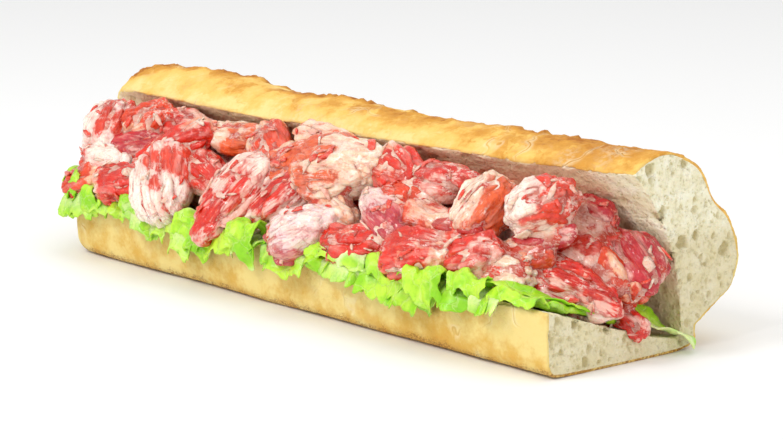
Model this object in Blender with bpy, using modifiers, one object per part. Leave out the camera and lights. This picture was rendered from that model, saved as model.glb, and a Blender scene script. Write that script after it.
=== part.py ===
"""A lobster sandwich: half a baguette, slit along its front and opened, with lettuce and lobster.

X runs along the loaf, from the baked heel at -X to the cut end at +X. Y runs from the slit at the
front to the uncut hinge at the back, and Z is up. Shapes are worked out with the cut end at x = 0
and the front of the base near y = 0. The last step centres everything over the origin.
"""

import math

import bmesh
import bpy
from mathutils import Matrix, Vector, noise

MM = 0.001

# The loaf, closed, as it was baked. The section is a rounded box, flat underneath.
LOAF_LENGTH = 296 * MM
LOAF_HALF_WIDTH = 36.5 * MM
LOAF_MID_Y = 34.5 * MM
LOAF_MID_Z = 23 * MM
LOAF_TOP_RISE = 26 * MM
BOTTOM_SQUARENESS = 8.0
BOTTOM_FLATTENED = 0.9 * MM
FOOT_BOW = 2.4 * MM
TOP_SQUARENESS = 2.6
HEEL_SWELL = 2.0 * MM
HEEL_SWELL_ZONE = (-258 * MM, 60 * MM)
HEEL_ROUNDING = 25 * MM
HEEL_SQUARENESS = 3.2
HEEL_MID_Y = 34 * MM
HEEL_MID_Z = 18 * MM

# The knife cut, from the lips at the front to the hinge, and how far the filling dents each face.
LIP_ANGLE = -2.0
HINGE_ANGLE = 135.0
HINGE_CRUST = 3.4 * MM
CUT_BOW = 2.0 * MM
BASE_DENT = 2.2 * MM
LID_DENT = 5.0 * MM

# How far the lid stands open, in degrees, at the cut end and at the heel, and how much further
# than the base it reaches at the heel.
OPENING = 49.0
OPENING_AT_HEEL = 40.5
OPENING_CURVE = 3.5
LID_REACH_AT_HEEL = 12 * MM
LID_REACH_ZONE = 70 * MM
HINGE_BLEND = 4.0
HINGE_BLEND_AT_HEEL = 30.0

# Slashes baked open along the top: where each starts and ends, and the angle round the loaf there.
SLASHES = [(14 * MM, -90 * MM), (-98 * MM, -205 * MM), (-190 * MM, -276 * MM)]
SLASH_BACK_ANGLE = 263.0
SLASH_FRONT_ANGLE = 304.0
SLASH_DEPTH = 4.6 * MM
SLASH_HALF_WIDTH = 11.0
EAR_RISE = 1.6 * MM
EAR_OFFSET = 13.0
PLEAT_ANGLE = 177.0
PLEAT_DEPTH = 5.0 * MM
PLEAT_HALF_WIDTH = 11.0
LOAF_WAVE = 1.2 * MM

# How finely the loaf is divided: rings along it, and steps round each stretch of its outline.
RINGS = 20
HEEL_RINGS = 6
OUTLINE_STRETCHES = [(-2, 60, 4), (60, 120, 4), (120, 150, 3), (150, 200, 6), (200, 250, 3),
                     (250, 320, 8), (320, 358, 2)]
FACE_STEPS = 6

# Gap kept between pieces that touch, and the smallest piece kept.
TOUCH_GAP = 0.4 * MM
LEAST_VOLUME = 15 * MM ** 3
# How a carved piece is tidied: the edges merged, and the bend below which faces are joined. The
# gentler settings are for a piece that the first leave open.
CLEANING = [(0.12 * MM, math.radians(3)), (0.05 * MM, math.radians(2)), (0.01 * MM, math.radians(1)),
            (0.001 * MM, 0.0)]

# The face of the heap runs from the lip of the base to the lip of the lid.
# Each lobster piece: kind, place along the loaf, place up the face, place out of the face, then
# length, width, thickness, and the heading on the face, the dip out of it and the roll.
LOBSTER = [
    ("knuckle", -283, 31, 2, 27, 24, 19, 108, 0, 0),
    ("knuckle", -263, 38, 0, 23, 18, 16, 45, 0, 10),
    ("flake", -243, 42, -3, 30, 15, 10, 0, 0, 0),
    ("claw", -262, 27, -1, 36, 15, 13, 15, 0, 0),
    ("tail", -272, 16, 1, 31, 16, 15, -4, 0, 0),
    ("knuckle", -277, 7, 1, 25, 16, 14, 30, 0, 0),
    ("knuckle", -253, 8, 3, 27, 18, 15, 12, 0, 0),
    ("claw", -236, 29, 2, 44, 18, 13, 218, 0, 15),
    ("tail", -226, 11, 5, 38, 29, 19, -50, 0, 0),
    ("claw", -208, 21, 0, 34, 16, 13, -18, 0, 0),
    ("claw", -183, 13, 4, 43, 26, 17, -108, 0, 0),
    ("flake", -206, 41, -2, 37, 15, 10, 5, 0, 0),
    ("claw", -180, 37, 0, 34, 19, 14, -34, 0, 0),
    ("knuckle", -163, 34, 0, 27, 20, 16, 28, 0, 0),
    ("claw", -160, 17, 1, 36, 17, 13, 235, 0, 0),
    ("claw", -135, 36, 4, 45, 29, 20, 12, 0, 0),
    ("knuckle", -107, 40, 0, 29, 20, 16, -17, 0, 0),
    ("flake", -156, 48, 0, 36, 13, 11, 0, 0, 0),
    ("flake", -94, 31, 3, 30, 9, 7, -5, 0, 0),
    ("claw", -137, 7, 3, 34, 23, 16, 30, 0, 0),
    ("knuckle", -132, 20, -1, 30, 16, 13, -20, 0, 0),
    ("claw", -101, 21, 2, 33, 18, 14, 155, 0, 0),
    ("knuckle", -107, 7, 1, 33, 16, 14, 5, 0, 0),
    ("knuckle", -72, 9, 2, 34, 21, 17, 15, 0, 0),
    ("claw", -82, 41, 0, 31, 17, 14, 8, 0, 0),
    ("knuckle", -55, 33, 2, 28, 23, 19, 80, 0, 0),
    ("claw", -77, 25, 0, 34, 14, 12, -5, 0, 0),
    ("flake", -59, 20, 3, 24, 12, 9, 5, 0, 0),
    ("knuckle", -47, 14, 0, 25, 19, 16, 25, 0, 0),
    ("knuckle", -29, 39, 2, 29, 22, 19, 25, 0, 0),
    ("flake", -25, 29, -3, 29, 12, 6, 25, 0, 25),
    ("knuckle", -24, 49, -17, 22, 15, 12, 0, 0, 0),
    ("knuckle", -15, 34, -21, 32, 15, 14, -28, -27, 0),
    ("claw", -9, 42, -27, 34, 20, 11, 169, 30, 0),
    ("knuckle", -6, 31, -33, 17, 12, 11, 0, 0, 0),
    ("claw", -15, 20, -19, 41, 21, 17, -5, -25, 0),
    ("knuckle", -34, 12, -5, 25, 15, 13, 5, 0, 0),
    ("flake", -31, 22, -6, 27, 14, 11, 10, 0, 0),
    ("claw", -6, 22, -38, 25, 14, 11, -15, -17, 0),
    ("knuckle", -17, 38, -40, 26, 17, 15, 20, 0, 0),
    ("knuckle", -20, 27, -48, 28, 15, 13, -20, 0, 0),
]
PIECE_SEGMENTS = 8
PIECE_RINGS = 7
# For each kind: taper towards the tip, sideways bend, squareness, and how lumpy it is.
PIECE_FORMS = {
    "claw": (0.34, 0.16, 0.95, 0.07),
    "knuckle": (0.06, 0.05, 0.82, 0.12),
    "tail": (0.12, 0.14, 0.80, 0.08),
    "flake": (0.25, 0.22, 0.92, 0.08),
}

# The dressed salad behind the pieces that show. It fills the opening, clear of the faces by these.
SALAD_FROM = -292 * MM
SALAD_TO = -11 * MM
SALAD_RINGS = 18
SALAD_SHARES = (0.3, 0.58, 0.86)
SALAD_BASE_CLEARANCE = 4.2 * MM
SALAD_LID_CLEARANCE = 1.6 * MM
SALAD_FACE_DEPTH = -8 * MM
SALAD_FACE_UP = (11 * MM, 22 * MM, 33 * MM, 43 * MM)
SALAD_LUMPS = 2.0 * MM

# The lettuce: a bed on the base, and leaves that lie over the lip or stand in the heap.
BED_FROM = -278 * MM
BED_TO = -5 * MM
BED_FRONT = 0.10
BED_BACK = 0.84
BED_THICK = 2.4 * MM
LEAF_THICK = 1.0 * MM
LEAF_CLEARANCE = 1.3
LEAF_ACROSS_STEPS = 9
LEAF_DROP_STEPS = 5
# Each leaf over the lip: place along the loaf, width, reach inside, drop outside, lean, lift off
# the lip, ruffle height and number of ruffles, all in millimetres but the last.
LIP_LEAVES = [
    (-286, 27, 5, 8, -4, 7.0, 4.0, 2.0),
    (-261, 21, 5, 10, -8, 3.5, 3.5, 1.5),
    (-240, 20, 5, 8, 3, 3.0, 3.5, 1.5),
    (-215, 25, 4, 6, 0, 2.5, 2.5, 1.5),
    (-188, 21, 6, 18, -12, 3.5, 5.0, 1.5),
    (-167, 20, 6, 14, 2, 4.5, 5.0, 1.5),
    (-148, 16, 4, 4, 0, 2.0, 2.0, 1.0),
    (-130, 20, 5, 5, 0, 3.5, 3.5, 1.5),
    (-107, 24, 5, 7, 0, 4.0, 3.5, 2.0),
    (-84, 21, 5, 8, 2, 3.0, 4.0, 1.5),
    (-64, 19, 5, 15, 6, 4.0, 5.5, 1.5),
    (-42, 23, 6, 6, 3, 4.5, 4.5, 2.0),
    (-17, 25, 6, 4, 0, 2.5, 2.5, 1.5),
]
# Each cut strip of leaf: its start, the point that it bends towards, its end, width and ruffle.
STRIPS = [
    ((-36, 1, 30), (-8, 3, 32), (-3, 25, 19.5), 7, 0.8),
    ((-16, 50, 19), (-1, 56, 13), (5, 69, 3), 12, 1.6),
]
STRIP_STEPS = 9


def signed_power(value, power):
    return math.copysign(abs(value) ** power, value)


def smooth_step(value, low, high):
    share = min(1.0, max(0.0, (value - low) / (high - low)))
    return share * share * (3 - 2 * share)


def hump(value, middle, half_width):
    """1 at the middle, falling smoothly to 0 at half_width each side."""
    away = abs(value - middle) / half_width
    return 0.5 + 0.5 * math.cos(math.pi * away) if away < 1 else 0.0


def heel_share(x):
    """How much of the full section is left at x: 1 along the loaf, less round the heel."""
    into = min(0.98, max(0.0, (-x - (LOAF_LENGTH - HEEL_ROUNDING)) / HEEL_ROUNDING))
    return (1 - into ** HEEL_SQUARENESS) ** (1 / HEEL_SQUARENESS)


def relief(x, angle):
    """How far the crust stands out from the plain section, for slashes, the pleat and waves."""
    out = LOAF_WAVE * noise.noise(Vector((x / 0.045, math.cos(math.radians(angle)) * 1.3, 4.0)))
    for start, end in SLASHES:
        along = (x - start) / (end - start)
        if not 0 < along < 1:
            continue
        middle = SLASH_BACK_ANGLE + (SLASH_FRONT_ANGLE - SLASH_BACK_ANGLE) * along
        strength = math.sin(math.pi * along) ** 0.5
        out -= SLASH_DEPTH * strength * hump(angle, middle, SLASH_HALF_WIDTH)
        out += EAR_RISE * strength * hump(angle, middle + EAR_OFFSET, SLASH_HALF_WIDTH)
    return out - PLEAT_DEPTH * hump(angle, PLEAT_ANGLE, PLEAT_HALF_WIDTH)


def closed_outline(x, angle):
    """A point (y, z) on the crust of the closed loaf. 0 degrees is the front and 90 the bottom."""
    c, s = math.cos(math.radians(angle)), math.sin(math.radians(angle))
    power = 2 / (BOTTOM_SQUARENESS if s > 0 else TOP_SQUARENESS)
    stand = relief(x, angle)
    if s > 0:
        height = LOAF_MID_Z + BOTTOM_FLATTENED
        halfway = math.sin(math.pi * min(1.0, max(0.0, -x / LOAF_LENGTH)))
        stand += FOOT_BOW * halfway * smooth_step(s, 0.7, 1.0)
    else:
        height = LOAF_TOP_RISE + HEEL_SWELL * hump(x, *HEEL_SWELL_ZONE) + stand
    y = LOAF_MID_Y - (LOAF_HALF_WIDTH + stand) * signed_power(c, power)
    z = max(0.0, LOAF_MID_Z - height * signed_power(s, power))
    share = heel_share(x)
    return Vector((HEEL_MID_Y + (y - HEEL_MID_Y) * share, HEEL_MID_Z + (z - HEEL_MID_Z) * share))


def closed_cut(x, along, dent):
    """A point (y, z) on the knife cut, from the lip at 0 to the hinge at 1, dented by the filling."""
    lip = closed_outline(x, LIP_ANGLE)
    corner = closed_outline(x, HINGE_ANGLE)
    hinge = corner + (lip - corner).normalized() * HINGE_CRUST * 1.2 + Vector((0, HINGE_CRUST * 0.4))
    bow = math.sin(math.pi * along) * heel_share(x)
    return lip.lerp(hinge, along) + Vector((0, (CUT_BOW + dent) * bow))


def opened(x, point, share):
    """The point, in the loaf as it stands open. share is 0 on the base and 1 on the lid."""
    pivot = closed_outline(-LOAF_LENGTH / 2, HINGE_ANGLE)
    from_heel = max(0.0, 1 + x / LOAF_LENGTH)
    opening = OPENING_AT_HEEL + (OPENING - OPENING_AT_HEEL) * from_heel ** OPENING_CURVE
    turn = Matrix.Rotation(-math.radians(opening) * share, 2)
    reach = LID_REACH_AT_HEEL * share * smooth_step(-x, LOAF_LENGTH - LID_REACH_ZONE, LOAF_LENGTH)
    y, z = pivot + turn @ (point - pivot)
    return Vector((x - reach, y, z))


def lid_share(x, angle):
    """0 on the base and 1 on the lid. The hinge bends over a wider stretch round the heel."""
    blend = HINGE_BLEND + (HINGE_BLEND_AT_HEEL - HINGE_BLEND) * (1 - heel_share(x))
    return smooth_step(angle, HINGE_ANGLE - blend, HINGE_ANGLE + blend)


def crust(x, angle):
    return opened(x, closed_outline(x, angle), lid_share(x, angle))


def base_face(x, along):
    """The crumb on top of the base, from the lip at 0 to the hinge at 1."""
    return opened(x, closed_cut(x, along, -BASE_DENT), 0.5 * smooth_step(along, 0.9, 1.0))


def lid_face(x, along):
    """The crumb under the lid, from the lip at 0 to the hinge at 1."""
    return opened(x, closed_cut(x, along, LID_DENT), 1 - 0.5 * smooth_step(along, 0.9, 1.0))


def new_object(name, bm, material, collection):
    mesh = bpy.data.meshes.new(name)
    bm.to_mesh(mesh)
    bm.free()
    mesh.materials.append(material)
    item = bpy.data.objects.new(name, mesh)
    collection.objects.link(item)
    return item


def face_outwards(bm):
    """Turns the faces of a closed shape outwards."""
    bm.normal_update()
    bmesh.ops.recalc_face_normals(bm, faces=bm.faces)
    if bm.calc_volume(signed=True) < 0:
        bmesh.ops.reverse_faces(bm, faces=bm.faces)


def new_material(name, colour, roughness):
    material = bpy.data.materials.new(name)
    material.use_nodes = True
    shader = material.node_tree.nodes["Principled BSDF"]
    shader.inputs["Base Color"].default_value = (*colour, 1)
    shader.inputs["Roughness"].default_value = roughness
    return material


def ring_places():
    """Places of the rings along the loaf, closer together round the heel."""
    straight = LOAF_LENGTH - HEEL_ROUNDING
    places = [-straight * i / RINGS for i in range(RINGS + 1)]
    for i in range(1, HEEL_RINGS + 1):
        turn = 0.5 * math.pi * i / (HEEL_RINGS + 0.6)
        places.append(-straight - HEEL_ROUNDING * math.sin(turn))
    return places


def bread_ring(x):
    """One section of the open loaf: round the crust from lip to lip, then back along the cut."""
    ring = []
    for start, end, steps in OUTLINE_STRETCHES:
        ring += [crust(x, start + (end - start) * i / steps) for i in range(steps)]
    ring.append(crust(x, OUTLINE_STRETCHES[-1][1]))
    ring += [lid_face(x, i / FACE_STEPS) for i in range(1, FACE_STEPS + 1)]
    ring += [base_face(x, i / FACE_STEPS) for i in range(FACE_STEPS - 1, 0, -1)]
    return ring


def make_bread(collection, material):
    bm = bmesh.new()
    loops = []
    for x in ring_places():
        verts = [bm.verts.new(p) for p in bread_ring(x)]
        loops.append([bm.edges.new((a, b)) for a, b in zip(verts, verts[1:] + verts[:1])])
    for near, far in zip(loops, loops[1:]):
        bmesh.ops.bridge_loops(bm, edges=near + far)
    ends = bmesh.ops.holes_fill(bm, edges=loops[0] + loops[-1], sides=0)["faces"]
    bmesh.ops.triangulate(bm, faces=ends)
    bmesh.ops.triangulate(bm, faces=bm.faces)
    face_outwards(bm)
    return new_object("baguette", bm, material, collection)


def heap_frame(x):
    """The heap's face at x: its foot on the lip of the base, and its up and outward directions."""
    foot, head = base_face(x, 0), lid_face(x, 0)
    up = Vector((0, head.y - foot.y, head.z - foot.z)).normalized()
    return foot, up, Vector((0, -up.z, up.y))


def on_heap(x, up, out):
    """A point at x, so far up the heap's face from the lip of the base, and so far out of it."""
    foot, up_axis, out_axis = heap_frame(x)
    return Vector((x, foot.y, foot.z)) + up_axis * up + out_axis * out


def make_piece(name, row, collection, material):
    """One piece of lobster: a ball drawn out, tapered, bent and made lumpy, then laid on the heap."""
    kind, x, up, out, length, width, thick, heading, dip, roll = row
    taper, bend, squareness, lumps = PIECE_FORMS[kind]
    place = on_heap(x * MM, up * MM, out * MM)
    _, up_axis, out_axis = heap_frame(max(x * MM, -LOAF_LENGTH + HEEL_ROUNDING))
    heading, dip, roll = (math.radians(a) for a in (heading, dip, roll))
    on_face = Vector((1, 0, 0)) * math.cos(heading) + up_axis * math.sin(heading)
    along_axis = on_face * math.cos(dip) + out_axis * math.sin(dip)
    thick_axis = out_axis * math.cos(dip) - on_face * math.sin(dip)
    thick_axis.rotate(Matrix.Rotation(roll, 3, along_axis))
    wide_axis = thick_axis.cross(along_axis)
    bm = bmesh.new()
    bmesh.ops.create_uvsphere(bm, u_segments=PIECE_SEGMENTS, v_segments=PIECE_RINGS, radius=1)
    for vert in bm.verts:
        across, outward, along = (signed_power(c, squareness) for c in vert.co)
        narrowed = 1 - taper * along
        swell = 1 + lumps * noise.noise(vert.co * 1.7 + Vector((x, up, out)))
        across = across * narrowed + bend * (along * along - 0.4)
        outward = outward * (1 - 0.6 * taper * along)
        vert.co = place + swell * MM * 0.5 * (
            along_axis * along * length + wide_axis * across * width + thick_axis * outward * thick
        )
    face_outwards(bm)
    return new_object(name, bm, material, collection)


def make_salad(collection, material):
    """The dressed salad behind the pieces that show: a bar that follows both faces of the cut."""
    bm = bmesh.new()
    loops = []
    for i in range(SALAD_RINGS + 1):
        x = SALAD_FROM + (SALAD_TO - SALAD_FROM) * i / SALAD_RINGS
        above_bed, off_lid = Vector((0, 0, SALAD_BASE_CLEARANCE)), Vector((0, SALAD_LID_CLEARANCE, 0))
        ring = [base_face(x, share) + above_bed for share in SALAD_SHARES]
        ring += [lid_face(x, share) - off_lid for share in reversed(SALAD_SHARES)]
        for up in reversed(SALAD_FACE_UP):
            lump = SALAD_LUMPS * noise.noise(Vector((x, up, 0)) / (12 * MM))
            ring.append(on_heap(x, up, SALAD_FACE_DEPTH + lump))
        middle = sum(ring, Vector()) / len(ring)
        small = 0.6 if i in (0, SALAD_RINGS) else 1.0
        verts = [bm.verts.new(middle + (point - middle) * small) for point in ring]
        loops.append([bm.edges.new((a, b)) for a, b in zip(verts, verts[1:] + verts[:1])])
    for near_loop, far_loop in zip(loops, loops[1:]):
        bmesh.ops.bridge_loops(bm, edges=near_loop + far_loop)
    bmesh.ops.holes_fill(bm, edges=loops[0] + loops[-1], sides=0)
    bmesh.ops.triangulate(bm, faces=bm.faces)
    face_outwards(bm)
    return new_object("lobster_salad", bm, material, collection)


def make_bed(collection, material):
    """Shredded lettuce spread over the base, as one thin uneven layer."""
    bm = bmesh.new()
    bmesh.ops.create_grid(bm, x_segments=26, y_segments=4, size=0.5)
    for vert in bm.verts:
        x = BED_FROM + (BED_TO - BED_FROM) * (vert.co.x + 0.5)
        along = BED_FRONT + (BED_BACK - BED_FRONT) * (vert.co.y + 0.5)
        rise = TOUCH_GAP + 0.9 * MM * (1 + noise.noise(Vector((x / 0.011, along * 6, 1.0))))
        vert.co = base_face(x, along) + Vector((0, 0, rise))
    bed = new_object("lettuce_bed", bm, material, collection)
    add_thickness(bed, BED_THICK)
    return bed


def add_thickness(item, thickness):
    """Gives an open sheet its thickness, upwards or outwards from the face that it was drawn on."""
    modifier = item.modifiers.new("thickness", "SOLIDIFY")
    modifier.thickness = thickness
    modifier.offset = 1
    keep_evaluated(item)
    bm = bmesh.new()
    bm.from_mesh(item.data)
    face_outwards(bm)
    bm.to_mesh(item.data)
    bm.free()


def keep_evaluated(item):
    """Replaces the object's mesh by what its modifiers make of it."""
    graph = bpy.context.evaluated_depsgraph_get()
    mesh = bpy.data.meshes.new_from_object(item.evaluated_get(graph))
    item.modifiers.clear()
    item.data = mesh


def over_lip(x, way, clearance):
    """A point over the lip of the base: way is below 0 inside, and above 0 down the crust."""
    lip = base_face(x, 0)
    corner = clearance * 0.5 * math.pi
    if way <= 0:
        width = (base_face(x, 1) - lip).length
        return base_face(x, -way / width) + Vector((0, 0, clearance))
    if way < corner:
        turn = 0.5 * math.pi * way / corner
        return lip + Vector((0, -math.sin(turn), math.cos(turn))) * clearance
    return lip + Vector((0, -clearance - 0.6 * MM, corner - way))


def make_leaf(name, row, collection, material):
    """A leaf that comes out from under the lobster, turns over the lip and hangs down the crust."""
    x, width, inside, drop, lean, rise, ruffle, ruffles = row
    bm = bmesh.new()
    bmesh.ops.create_grid(bm, x_segments=LEAF_ACROSS_STEPS, y_segments=LEAF_DROP_STEPS, size=0.5)
    for vert in bm.verts:
        across, down = vert.co.x, 0.5 - vert.co.y
        rounded = math.sqrt(1 - (1.6 * across) ** 2)
        way = (-inside + (inside + drop) * down * (0.55 + 0.45 * rounded)) * MM
        place = (x + width * across + lean * down) * MM
        wave = 0.5 + 0.5 * math.sin(2 * math.pi * ruffles * across + x)
        lift = (LEAF_CLEARANCE + rise * math.sin(math.pi * down) + ruffle * wave * down) * MM
        vert.co = over_lip(place, way, lift)
    leaf = new_object(name, bm, material, collection)
    add_thickness(leaf, LEAF_THICK)
    return leaf


def make_strip(name, row, collection, material):
    """A strip of cut lettuce along a bend between three points, with a ruffled edge."""
    start, bend, end, width, ruffle = row
    start, bend, end = (Vector(p) for p in (start, bend, end))
    bm = bmesh.new()
    bmesh.ops.create_grid(bm, x_segments=STRIP_STEPS, y_segments=3, size=0.5)
    for vert in bm.verts:
        share, side = vert.co.x + 0.5, vert.co.y
        place = start * (1 - share) ** 2 + bend * 2 * share * (1 - share) + end * share ** 2
        along = (bend - start) * (1 - share) + (end - bend) * share
        across = along.cross(Vector((0, 0, 1))).normalized()
        rise = across.cross(along).normalized()
        taper = 1 - 0.5 * share ** 3
        wave = ruffle * math.sin(9 * share + 2.5 * side)
        vert.co = (place + across * side * width * taper + rise * wave) * MM
    strip = new_object(name, bm, material, collection)
    add_thickness(strip, LEAF_THICK)
    return strip


def box_of(item):
    corners = [vert.co for vert in item.data.vertices]
    low = Vector(min(c[i] for c in corners) for i in range(3))
    high = Vector(max(c[i] for c in corners) for i in range(3))
    return low, high


def near(first, second):
    (low_a, high_a), (low_b, high_b) = box_of(first), box_of(second)
    return all(low_a[i] < high_b[i] + TOUCH_GAP and low_b[i] < high_a[i] + TOUCH_GAP for i in range(3))


def carve(item, others, cutters):
    """Cuts what the others take up, and the gap round it, out of the item."""
    whole = item.data
    close_by = [other for other in others if near(item, other)]
    for solver in ("MANIFOLD", "EXACT"):
        item.data = whole.copy()
        for other in close_by:
            cut(item, other, solver, cutters)
        if keep_largest(item):
            return
    raise RuntimeError("no closed solid is left of " + item.name)


def cut(item, other, solver, cutters):
    """Cuts the other, swollen by the gap, out of the item."""
    bm = bmesh.new()
    bm.from_mesh(other.data)
    swell = [vert.normal * TOUCH_GAP * min(2.0, vert.calc_shell_factor()) for vert in bm.verts]
    for vert, offset in zip(bm.verts, swell):
        vert.co += offset
    mesh = bpy.data.meshes.new("cutter")
    bm.to_mesh(mesh)
    bm.free()
    swollen = bpy.data.objects.new("cutter", mesh)
    cutters.objects.link(swollen)
    modifier = item.modifiers.new("carve", "BOOLEAN")
    modifier.operation = "DIFFERENCE"
    modifier.solver = solver
    modifier.object = swollen
    keep_evaluated(item)
    bpy.data.objects.remove(swollen)


def keep_largest(item):
    """Drops loose scraps and slivers, and splits what is left into triangles, if it is closed."""
    for merge, flat_enough in CLEANING:
        bm = bmesh.new()
        bm.from_mesh(item.data)
        bmesh.ops.remove_doubles(bm, verts=bm.verts, dist=merge)
        bmesh.ops.dissolve_degenerate(bm, dist=merge, edges=bm.edges)
        bmesh.ops.dissolve_limit(bm, angle_limit=flat_enough, verts=bm.verts, edges=bm.edges)
        bmesh.ops.triangulate(bm, faces=bm.faces)
        for island in face_islands(bm)[:-1]:
            bmesh.ops.delete(bm, geom=island, context="FACES")
        bmesh.ops.delete(bm, geom=[edge for edge in bm.edges if edge.is_wire], context="EDGES")
        bmesh.ops.delete(bm, geom=[vert for vert in bm.verts if not vert.link_faces], context="VERTS")
        face_outwards(bm)
        volume = bm.calc_volume()
        sound = volume > LEAST_VOLUME and all(edge.is_manifold for edge in bm.edges)
        if sound:
            bm.to_mesh(item.data)
        bm.free()
        if sound:
            return True
    return False


def face_islands(bm):
    """The faces of each part that is joined edge to edge, smallest part first."""
    islands, seen = [], set()
    for first in bm.faces:
        if first in seen:
            continue
        island, waiting = [], [first]
        seen.add(first)
        while waiting:
            face = waiting.pop()
            island.append(face)
            for edge in face.edges:
                for other in edge.link_faces:
                    if len(edge.link_faces) == 2 and other not in seen:
                        seen.add(other)
                        waiting.append(other)
        islands.append(island)
    return sorted(islands, key=lambda island: sum(face.calc_area() for face in island))


def centre_over_origin(items):
    """Moves everything so that the box round it stands on the origin by the middle of its base."""
    boxes = [box_of(item) for item in items]
    low = Vector(min(box[0][i] for box in boxes) for i in range(3))
    high = Vector(max(box[1][i] for box in boxes) for i in range(3))
    shift = Vector((-(low.x + high.x) / 2, -(low.y + high.y) / 2, -low.z))
    for item in items:
        item.data.transform(Matrix.Translation(shift))
        item.data.update()
    print("shift", [round(c / MM, 3) for c in shift], "size", [round(c / MM, 1) for c in high - low])
    return shift


def main():
    for item in list(bpy.data.objects):
        bpy.data.objects.remove(item)
    sandwich = bpy.data.collections.new("lobster_sandwich")
    cutters = bpy.data.collections.new("cutters")
    bpy.context.scene.collection.children.link(sandwich)
    bpy.context.scene.collection.children.link(cutters)
    cutters.hide_render = True

    bread = make_bread(sandwich, new_material("baguette", (0.80, 0.56, 0.27), 0.6))
    lettuce_colour = new_material("lettuce", (0.42, 0.70, 0.10), 0.4)
    lobster_colour = new_material("lobster", (0.82, 0.26, 0.17), 0.3)
    bed = make_bed(sandwich, lettuce_colour)
    carve(bed, [bread], cutters)
    salad = make_salad(sandwich, lobster_colour)
    carve(salad, [bread, bed], cutters)

    pieces = []
    counts = {}
    for row in LOBSTER:
        counts[row[0]] = counts.get(row[0], 0) + 1
        name = f"lobster_{row[0]}_{counts[row[0]]:02d}"
        piece = make_piece(name, row, sandwich, lobster_colour)
        pieces.append(piece)
    order = sorted(pieces, key=lambda piece: box_of(piece)[0].y)
    for i, piece in enumerate(order):
        carve(piece, [bread, bed, salad] + order[:i], cutters)

    leaves = []
    for i, row in enumerate(LIP_LEAVES, 1):
        leaf = make_leaf(f"lettuce_leaf_{i:02d}", row, sandwich, lettuce_colour)
        carve(leaf, [bread, bed] + pieces + leaves, cutters)
        leaves.append(leaf)
    for i, row in enumerate(STRIPS, 1):
        strip = make_strip(f"lettuce_strip_{i:02d}", row, sandwich, lettuce_colour)
        carve(strip, [bread, bed, salad] + pieces + leaves, cutters)
        leaves.append(strip)
    shift = centre_over_origin([bread, bed, salad] + pieces + leaves)
    total = sum(len(item.data.polygons) for item in sandwich.objects)
    print("faces", total, "bread", len(bread.data.polygons), "pieces",
          sum(len(p.data.polygons) for p in pieces), "leaves", sum(len(p.data.polygons) for p in leaves))
    return shift


SHIFT = main()
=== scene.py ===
# %% [markdown]
# # A lobster sandwich
# Half a baguette is slit along its front, opened like a mouth and filled with lettuce and dressed
# lobster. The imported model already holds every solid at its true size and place, so this lesson
# keeps those shapes and gives each one the surface of the real food: flaky crust, open crumb,
# fibrous meat with red skin, and thin crumpled leaves.

import math

import bmesh
import bpy
import numpy as np
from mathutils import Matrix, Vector
from mathutils.bvhtree import BVHTree


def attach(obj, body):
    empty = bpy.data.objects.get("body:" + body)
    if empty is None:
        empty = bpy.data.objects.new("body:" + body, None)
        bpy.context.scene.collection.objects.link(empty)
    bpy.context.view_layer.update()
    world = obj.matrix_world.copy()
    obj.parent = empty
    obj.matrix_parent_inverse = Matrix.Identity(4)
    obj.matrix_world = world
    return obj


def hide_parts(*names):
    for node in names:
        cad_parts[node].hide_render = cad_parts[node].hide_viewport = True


MM = 0.001
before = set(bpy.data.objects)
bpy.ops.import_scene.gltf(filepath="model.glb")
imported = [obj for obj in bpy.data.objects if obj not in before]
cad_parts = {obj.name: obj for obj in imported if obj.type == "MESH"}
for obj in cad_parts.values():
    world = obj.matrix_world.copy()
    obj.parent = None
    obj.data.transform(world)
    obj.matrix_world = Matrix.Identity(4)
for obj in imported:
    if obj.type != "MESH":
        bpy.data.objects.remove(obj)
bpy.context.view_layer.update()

# %% [markdown]
# ## Camera
# The photograph was taken with a long lens from a low height, to the right of the cut end. A
# long lens keeps both ends of the loaf nearly parallel. The camera is aimed by the direction
# that it looks back along, so its two angles can be read off directly.

# %% Camera
LENS, SENSOR_WIDTH, NEAREST = 150, 36, 0.01
AZIMUTH, ELEVATION = math.radians(49.0), math.radians(11.7)
CAMERA_PLACE = (0.953996, -0.814350, 0.288526)


def linked(name, data):
    """A new object in the scene."""
    item = bpy.data.objects.new(name, data)
    bpy.context.scene.collection.objects.link(item)
    return item


lens = bpy.data.cameras.new("camera")
lens.lens, lens.sensor_width, lens.clip_start = LENS, SENSOR_WIDTH, NEAREST
camera = linked("camera", lens)
backward = Vector((math.sin(AZIMUTH) * math.cos(ELEVATION),
                   -math.cos(AZIMUTH) * math.cos(ELEVATION), math.sin(ELEVATION)))
camera.location = CAMERA_PLACE
camera.rotation_mode = "QUATERNION"
camera.rotation_quaternion = backward.to_track_quat("Z", "Y")
bpy.context.scene.camera = camera
print("camera looks back along", [round(v, 3) for v in backward])

# %% [markdown]
# ## Two kinds of unevenness
# Food is never smooth. *Mist* is soft noise: each whole-number place in space gets a random
# number, and the numbers are blended between them. *Foam* is made of bubbles: each cell of
# space may hold one round bubble, and the answer is how far a point lies inside it. Both work
# on all points of a mesh at once, so a hundred thousand points take well under a second.

# %% Mist and foam
# Large odd numbers that stir the bits of a place until they look random.
STIR_EACH_AXIS = (73856093, 19349663, 83492791)
STIR_SEED, STIR_AGAIN = 40503, 0x45D9F3B
ALL_BITS = 0xFFFFFFFF
CORNERS = [np.array((a, b, c)) for a in (0, 1) for b in (0, 1) for c in (0, 1)]
NEIGHBOURS = [np.array((a, b, c)) for a in (-1, 0, 1) for b in (-1, 0, 1) for c in (-1, 0, 1)]
APART = 17.3
FINER, FAINTER = 0.47, 0.5


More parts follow.
